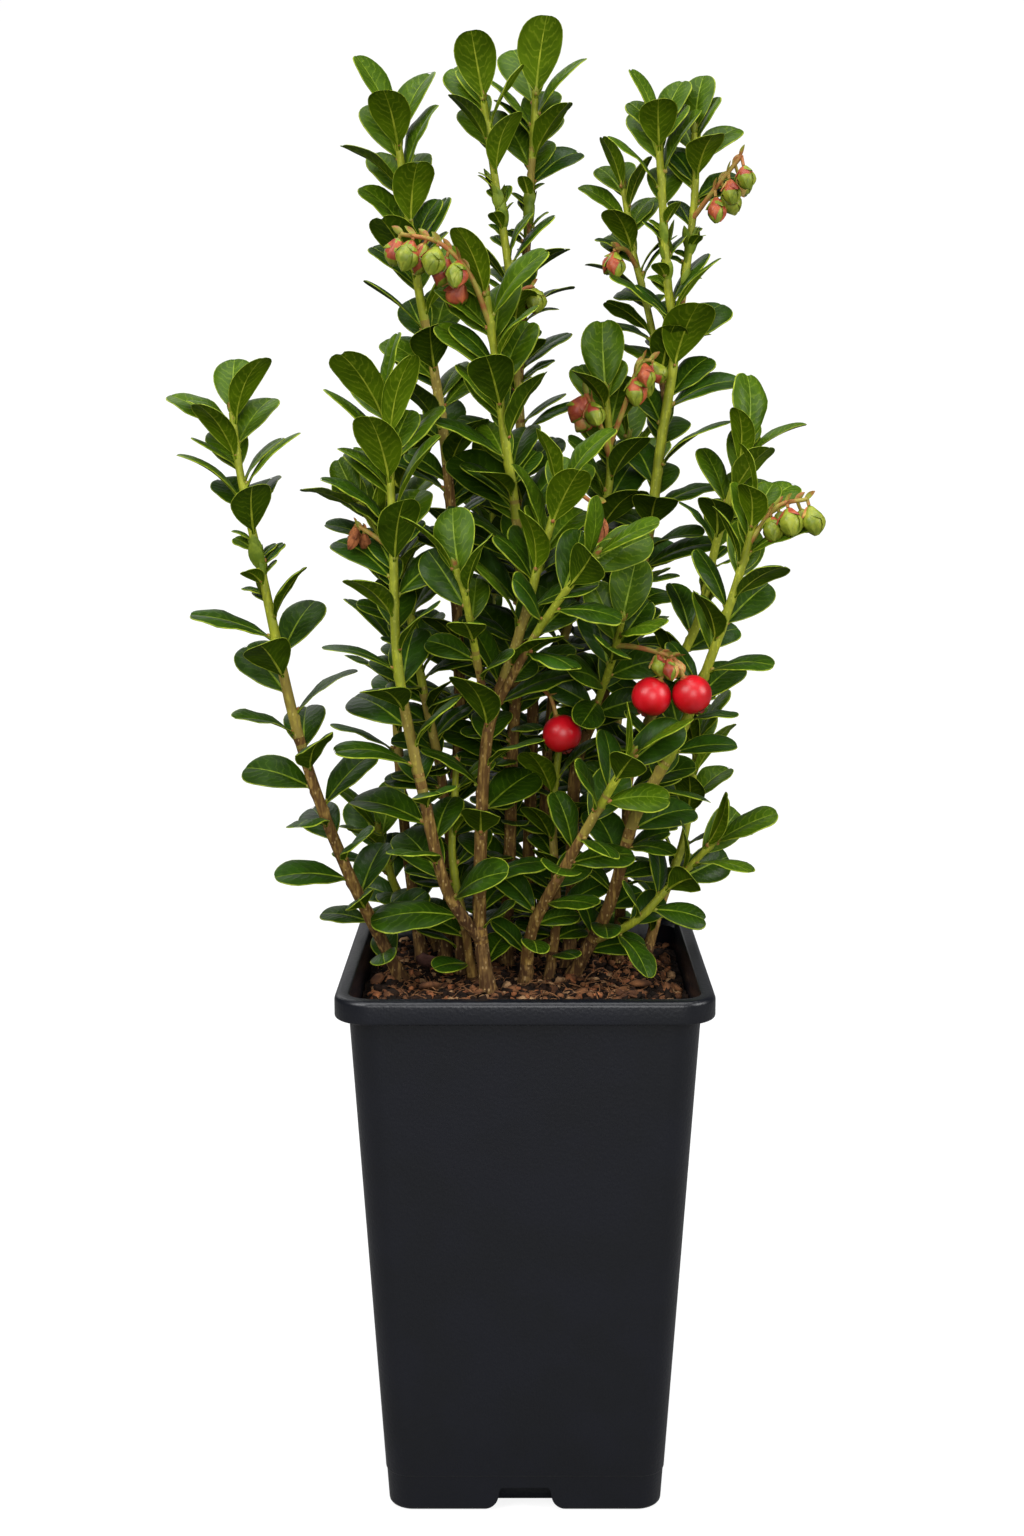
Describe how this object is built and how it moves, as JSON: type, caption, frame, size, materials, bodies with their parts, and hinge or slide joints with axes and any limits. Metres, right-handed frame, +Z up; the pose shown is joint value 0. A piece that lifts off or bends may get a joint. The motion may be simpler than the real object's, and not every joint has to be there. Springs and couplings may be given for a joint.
{
  "type": "potted lingonberry shrub",
  "caption": "Young lingonberry shrub with upright leafy shoots, nodding flower buds and round red berries, growing in a deep square nursery pot.",
  "frame": {"origin": "middle of the pot's flat underside", "axes": "+Z up along the plant, -Y towards the viewer of the picture, +X to the picture's right"},
  "size_m": [0.1545, 0.1087, 0.3627],
  "materials": {
    "pot_plastic": "fine pebble grain, half matte",
    "potting_mix": "crumbly and matte",
    "bark": "matte with small pores",
    "foliage": "leathery and half glossy"
  },
  "bodies": {
    "root": {"pot": "pot_plastic", "potting_mix": "potting_mix", "front_stem": "bark", "front_shoot": "foliage", "front_left_shoot": "foliage", "far_left_stem": "bark", "far_left_shoot": "foliage", "centre_stem": "bark", "centre_shoot": "foliage", "right_stem": "bark", "right_shoot": "foliage", "low_right_shoot": "foliage", "right_tall_stem": "bark", "right_tall_shoot": "foliage", "mid_left_stem": "bark", "mid_left_shoot": "foliage", "tall_stem": "bark", "tall_shoot": "foliage", "left_tall_stem": "bark", "left_tall_shoot": "foliage", "budded_stem": "bark", "budded_shoot": "foliage", "right_mid_stem": "bark", "right_mid_shoot": "foliage", "berried_shoot": "foliage", "left_behind_stem": "bark", "left_behind_shoot": "foliage", "back_left_stem": "bark", "back_left_shoot": "foliage", "back_middle_stem": "bark", "back_middle_shoot": "foliage", "back_right_stem": "bark", "back_right_shoot": "foliage", "back_far_left_stem": "bark", "back_far_left_shoot": "foliage", "back_low_stem": "bark", "back_low_shoot": "foliage", "right_low_stem": "bark", "right_low_shoot": "foliage", "middle_low_stem": "bark", "middle_low_shoot": "foliage", "left_low_stem": "bark", "left_low_shoot": "foliage"}
  },
  "joints": []
}
